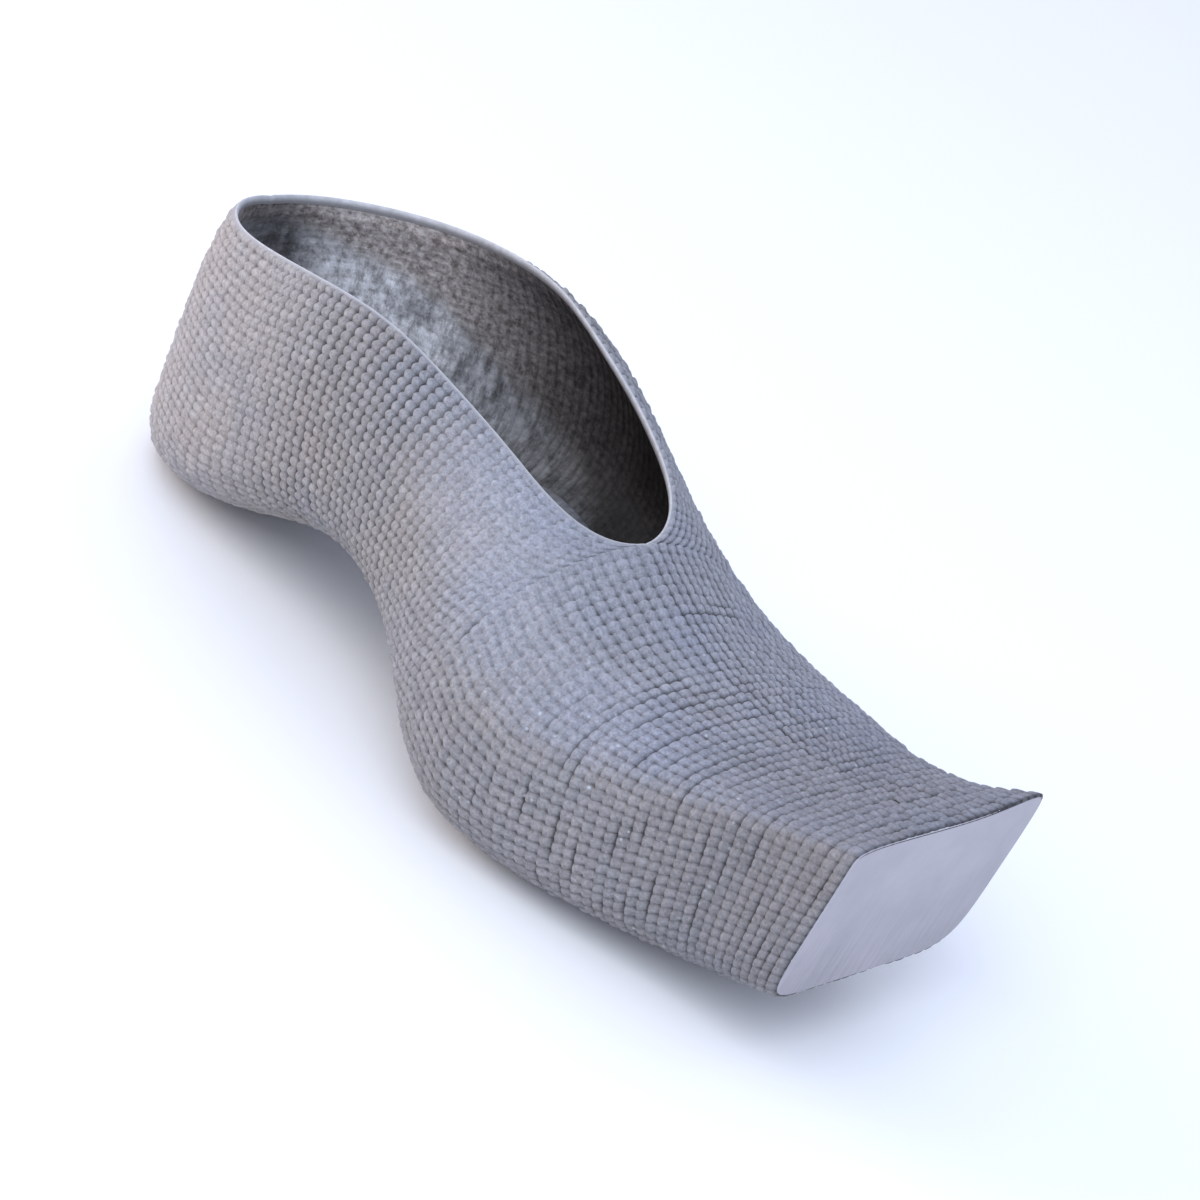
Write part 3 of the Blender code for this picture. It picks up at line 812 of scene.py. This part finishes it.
lift, lean, grooveShade, tone, lip = scaleRelief()
alongLoop = unit(np.gradient(surface["points"], axis=0))
scaled = surface["points"] + lift[..., None] * normals + lean[..., None] * alongLoop
scaled[..., 2] = np.maximum(scaled[..., 2], 0)
printed = printedGrey()
loopRows = int(round(surface["row"][-1]))
quarter = loopRows // 4
scalePieces = (
    "plate_scales_right", "scales_right_toe", "scales_right_heel",
    "scales_left_heel", "scales_left_toe", "plate_scales_left",
)
pieceEnds = (0, 1, quarter, loopRows // 2, loopRows - quarter, loopRows - 1, loopRows)
# the scales' ends over the plate turn in behind its face
turnedIn = surface["points"] - scaleShape["turnIn"] * normals
# painted sky light: faces that point up get a blue cast, its strength by x
upward = np.clip((normals[..., 2] - printFinish["skyLightFrom"]) / printFinish["skyLightBlend"], 0, 1)
upward = upward * tableAt(printFinish["skyLightSpan"], surface["x"])[:, None]
for name, first, last in zip(scalePieces, pieceEnds, pieceEnds[1:]):
    part = np.arange(first * perRow, last * perRow + 1)
    points = scaled[part]
    if first == 0:
        points, part = np.concatenate((turnedIn[:1], points)), np.append(part[0], part)
    if last == loopRows:
        points, part = np.concatenate((points, turnedIn[-1:])), np.append(part, part[-1])
    marks = {"grooveShade": grooveShade[part], "tone": tone[part], "lip": lip[part], "upward": upward[part]}
    node = "toe_plate" if name.startswith("plate") else "printed_shell"
    handOver(gridPiece(name, points, marks), node, printed)
print("scales made")

# rim section: distance in from the outer face and height over the collar's edge
rimShape = {
    "section": (
        (0, 0), (0.05, 0.16), (0.16, 0.28), (0.36, 0.31), (0.62, 0.2), (0.92, -0.06), (1.22, -0.42), (1.5, -0.84),
        (1.7, -1.35),
    ),
}


# rim: its section carried along the collar's edge, from the crisp outer corner down to the inner wall
def collarRim():
    ring = collarRing()
    edge, out = surface["points"][ring, -1], normals[ring, -1]
    run = unit(np.roll(edge, -1, axis=0) - np.roll(edge, 1, axis=0))
    inward = edge - surface["points"][ring, -4]  # from three samples below
    side = unit(np.cross(out, run))
    side = side * np.sign(np.sum(side * inward))  # one side all along the edge
    section = np.array(rimShape["section"])[:, None, :]
    points = edge - section[..., :1] * out + section[..., 1:] * side
    return points, np.broadcast_to(section[..., 0] / section[-1, 0, 0], points.shape[:2])


rimGrid, rimInward = collarRim()
rim = gridPiece("collar_rim", rimGrid, {"inward": rimInward}, wrap=True)
handOver(rim, "printed_shell", rimGrey())

liningShape = {
    "wall": ((0, 0.2), (1.2, 1.45), (5, 2.5)),  # thickness by distance from the collar's edge
    "cells": 0.3, "bedSmooth": 0.7,  # depth of the dimples, and how much less the bed has
    # painted shade in the dimples, and how much less of it on the bed
    "dimpleShade": 0.42, "bedDimpleShade": 0.1,
    "endRows": 2, "every": 2,  # rows left out at the plate, and the samples kept
    "seed": 23, "ringsPerRow": 0.5, "cellShare": 0.45, "ringShare": 0.55,
    "bedLine": (  # height of the bed's edge on the wall, by x
        (0, 68), (7, 66), (17, 63), (27, 62), (38, 60), (45, 56), (60, 50), (70, 47), (85, 42), (98, 37), (115, 30),
        (140, 20),
    ),
    "bedBlend": 6,
    # painted shade inside by x: dark at the heel's back, lightest just in front of it, darkest toward the throat
    "wallShade": (
        (0, 0.2), (4, 0.3), (11, 0.85), (20, 1.05), (38, 0.95), (52, 0.55), (70, 0.24), (90, 0.09), (110, 0.03),
        (128, 0.05), (148, 0.16), (175, 0.26),
    ),
    "bedShade": (
        (0, 0.2), (4, 0.32), (11, 1.0), (20, 1.2), (40, 0.95), (55, 0.52), (75, 0.27), (95, 0.17), (115, 0.06),
        (130, 0.08), (148, 0.18), (175, 0.26),
    ),
}


# inner wall: the form moved in by the wall, with the backs of the scales as shallow dimples
def liningPoints():
    f = liningShape
    keepRow = np.arange(f["endRows"] * perRow, len(surface["row"]) - f["endRows"] * perRow, f["every"])
    keepColumn = np.append(np.arange(0, len(columnSteps) - 1, f["every"]), len(columnSteps) - 1)
    grid = np.ix_(keepRow, keepColumn)
    wall = tableAt(f["wall"], collarDistance())
    relief = lift / scaleShape["relief"] * f["cells"]
    x, height = surface["points"][..., 0], surface["points"][..., 2]
    bed = np.clip((tableAt(f["bedLine"], x) - height) / f["bedBlend"] + 0.5, 0, 1)
    shade = tableAt(f["wallShade"], x) * (1 - bed) + tableAt(f["bedShade"], x) * bed
    moved = surface["points"] + (relief * (1 - f["bedSmooth"] * bed) - wall)[..., None] * normals
    bars = np.random.default_rng(f["seed"]).random(int(surface["row"][-1]) + 2)  # one tone for each ring of cells
    ringTone = bars[np.floor(surface["row"] * f["ringsPerRow"] + 1e-6).astype(int) % len(bars)]
    cell = f["cellShare"] * tone + f["ringShare"] * ringTone[:, None]
    marks = {"grooveShade": grooveShade * (f["dimpleShade"] - f["bedDimpleShade"] * bed), "bed": bed, "shade": shade, "cell": cell}
    return moved[grid], {key: values[grid] for key, values in marks.items()}


inside, insideMarks = liningPoints()
half = len(inside) // 2
liningLook = liningGrey()
for name, part in (("lining_right", slice(0, half + 1)), ("lining_left", slice(half, None))):
    marks = {key: values[part] for key, values in insideMarks.items()}
    handOver(gridPiece(name, inside[part], marks, flip=True), "printed_shell", liningLook)
print("rim and lining made")

plateShape = {
    "thickness": 2.5, "sideRing": 1.2, "edgeRound": 0.2, "edgeDraw": 0.4,
    "aroundPoints": 480, "bendRings": 5, "faceRings": 10,
    "reach": 120.0, "halvings": 40, "leastFacing": 0.4,
}


# plate: the toe's outline as rings, up the side, round the edge and straight over the flat face to its middle
def platePoints():
    p = plateShape
    r = p["edgeRound"]
    bend = np.linspace(0, np.pi / 2, p["bendRings"])
    depth = np.concatenate(((-p["thickness"], -p["sideRing"]), r * np.sin(bend) - r, np.zeros(p["faceRings"])))
    drawn = np.concatenate(((0, 0), r - r * np.cos(bend), np.full(p["faceRings"], r))) + p["edgeDraw"]
    shrink = np.concatenate((np.ones(2 + p["bendRings"]), 1 - (np.arange(p["faceRings"]) + 1) / p["faceRings"]))
    wide = sizesAt(np.array([toeEnd]), ("middle", "wideRight", "wideLeft"))
    centre = np.array((wide["middle"][0], (wide["wideRight"][0] + wide["wideLeft"][0]) / 2))
    angle = np.linspace(0, 2 * np.pi, p["aroundPoints"], endpoint=False)
    aim = np.stack((np.cos(angle), np.sin(angle)), axis=-1)
    start = np.zeros((len(depth), len(angle), 3))
    start[..., 0], start[..., 1:] = (toeEnd + depth)[:, None], centre
    ray = np.broadcast_to(np.pad(aim, ((0, 0), (1, 0))), start.shape)
    low = rayLength(start, ray, p["reach"], p["halvings"])
    outline = centre + aim * low[-1][:, None]
    step = np.roll(outline, -1, axis=0) - np.roll(outline, 1, axis=0)
    inward = unit(np.stack((-step[:, 1], step[:, 0]), axis=-1))
    facing = np.maximum(-np.sum(inward * aim, axis=-1), p["leastFacing"])
    reach = (low - drawn[:, None] / facing) * shrink[:, None]
    inset = (low - reach) * facing
    reach = np.concatenate((0 * reach[:1], reach))  # the back closes on its middle
    inset = np.concatenate((inset[:1], inset))
    flat = centre + aim[None] * reach[..., None]
    x = np.broadcast_to((toeEnd + np.append(depth[0], depth))[:, None, None], flat.shape[:2] + (1,))
    return shapedToe(np.concatenate((x, flat), axis=-1)), inset


plateGrid, plateEdge = platePoints()
plate = gridPiece("toe_plate_print", plateGrid, {"inset": plateEdge}, wrap=True, flip=True)
handOver(plate, "toe_plate", plateGrey())

insoleShape = {
    "back": 2.5, "front": 11.3, "breadth": 0.74, "endDraw": 0.9, "endSquare": 10, "lift": 3.2, "thickness": 3.0,
    "alongPoints": 200, "aroundPoints": 96, "acrossPower": 0.6, "layerPower": 0.35,
    "seed": 11, "waves": 4, "unevenness": 0.25, "slopeStep": 0.01,
}


# foot bed: the floor of the form between two places, lifted off it; its section is a flat superellipse
def insolePoints():
    i = insoleShape
    along = np.linspace(0, 1, i["alongPoints"])
    places = i["back"] + (i["front"] - i["back"]) * along
    x = splineThrough(shoeForm["rows"], places)[:, 0]
    turn = np.linspace(0, 2 * np.pi, i["aroundPoints"], endpoint=False)
    across = np.sign(np.cos(turn)) * np.abs(np.cos(turn)) ** i["acrossPower"]
    layer = np.sign(np.sin(turn)) * np.abs(np.sin(turn)) ** i["layerPower"]
    breadth = i["breadth"] * np.sqrt(np.maximum(1 - i["endDraw"] * along ** i["endSquare"], 0))
    share = breadth[:, None] * across[None]
    xs = np.broadcast_to(x[:, None], share.shape)

    def floorAt(xs, share):
        s = sizesAt(xs)
        right = share < 0
        wide = np.where(right, s["wideRight"], s["wideLeft"])
        power = np.where(right, s["soleRight"], s["soleLeft"])
        z = wide - (wide - s["sole"]) * np.maximum(1 - np.abs(share) ** power, 0) ** (1 / power)
        return shapedToe(np.stack((xs, s["middle"] + s["half"] * share, z), axis=-1))

    d = i["slopeStep"]
    along, across = floorAt(xs + 1, share) - floorAt(xs - 1, share), floorAt(xs, share + d) - floorAt(xs, share - d)
    up = unit(np.cross(along, across))
    draw = np.random.default_rng(i["seed"]).random((i["waves"], 3))  # each wave's length, slant and start
    waves = sum(np.sin(xs / (9 + 9 * a) + share * (5 + 7 * b) + 6 * c) for a, b, c in draw)
    swell = waves / i["waves"] * i["unevenness"]
    height = i["lift"] + i["thickness"] / 2 * (1 + layer)[None] + swell * (layer > 0)[None]
    grid = floorAt(xs, share) + up * height[..., None]
    ends = grid.mean(axis=1, keepdims=True)
    first, last = (np.broadcast_to(end, grid[:1].shape) for end in (ends[:1], ends[-1:]))
    return np.concatenate((first, grid, last))


insole = gridPiece("insole_bed", insolePoints(), wrap=True)
handOver(insole, "insole", insoleGrey())
print("plate and insole made")

room = {
    "floor": (0.94, 0.94, 0.94), "floorReach": 6.0,
    "world": (0.74, 0.81, 1.02), "worldStrength": 1.0,
    "camera": (0.3883, -0.5373, 0.3694), "aim": (0.00277, 0.02415, 0.03215), "roll": 23.44, "lens": 95.0,
    # soft boxes: place, target, size, power and colour
    "window": ((-1.35, -0.85, 0.55), (-0.02, 0, 0.04), 1.0, 13.0, (1.0, 0.8, 0.64)),
    "overhead": ((0.42, -1.0, 1.2), (0, 0, 0.03), 1.0, 13.0, (0.8, 0.9, 1.0)),
}


# floor: a wide plain square
def paleFloor():
    reach = room["floorReach"]
    corners = [(-reach, -reach, 0), (reach, -reach, 0), (reach, reach, 0), (-reach, reach, 0)]
    mesh = bpy.data.meshes.new("floor")
    mesh.from_pydata(corners, [], [(0, 1, 2, 3)])
    floor = bpy.data.objects.new("floor", mesh)
    bpy.context.collection.objects.link(floor)
    material, tree, shader = freshMaterial("pale_floor")
    setInputs(tree, shader, Base_Color=room["floor"], Roughness=0.9, Specular_IOR_Level=0.1)
    mesh.materials.append(material)


# soft box: an area light at a place, turned to a point
def softBox(name, place, target, size, power, colour):
    light = bpy.data.lights.new(name, "AREA")
    light.size = size
    light.energy = power
    light.color = colour
    lamp = bpy.data.objects.new(name, light)
    lamp.location = place
    lamp.rotation_euler = (Vector(target) - Vector(place)).to_track_quat("-Z", "Y").to_euler()
    bpy.context.collection.objects.link(lamp)


# camera: the photograph's place and direction, turned about its own line of sight
def studioCamera():
    data = bpy.data.cameras.new("camera")
    data.lens = room["lens"]
    data.sensor_width = 36
    data.clip_start = 0.01
    camera = bpy.data.objects.new("camera", data)
    sight = (Vector(room["aim"]) - Vector(room["camera"])).to_track_quat("-Z", "Y").to_matrix().to_4x4()
    turned = sight @ Matrix.Rotation(np.radians(room["roll"]), 4, "Z")
    camera.matrix_world = Matrix.Translation(Vector(room["camera"])) @ turned
    bpy.context.collection.objects.link(camera)
    bpy.context.scene.camera = camera


paleFloor()
for name in ("window", "overhead"):
    softBox(name, *room[name])
world = bpy.data.worlds.new("studio")
world.use_nodes = True
backdrop = world.node_tree.nodes["Background"]
setInputs(world.node_tree, backdrop, Color=room["world"], Strength=room["worldStrength"])
bpy.context.scene.world = world
bpy.context.scene.view_settings.view_transform = "Standard"
studioCamera()
print("room made")
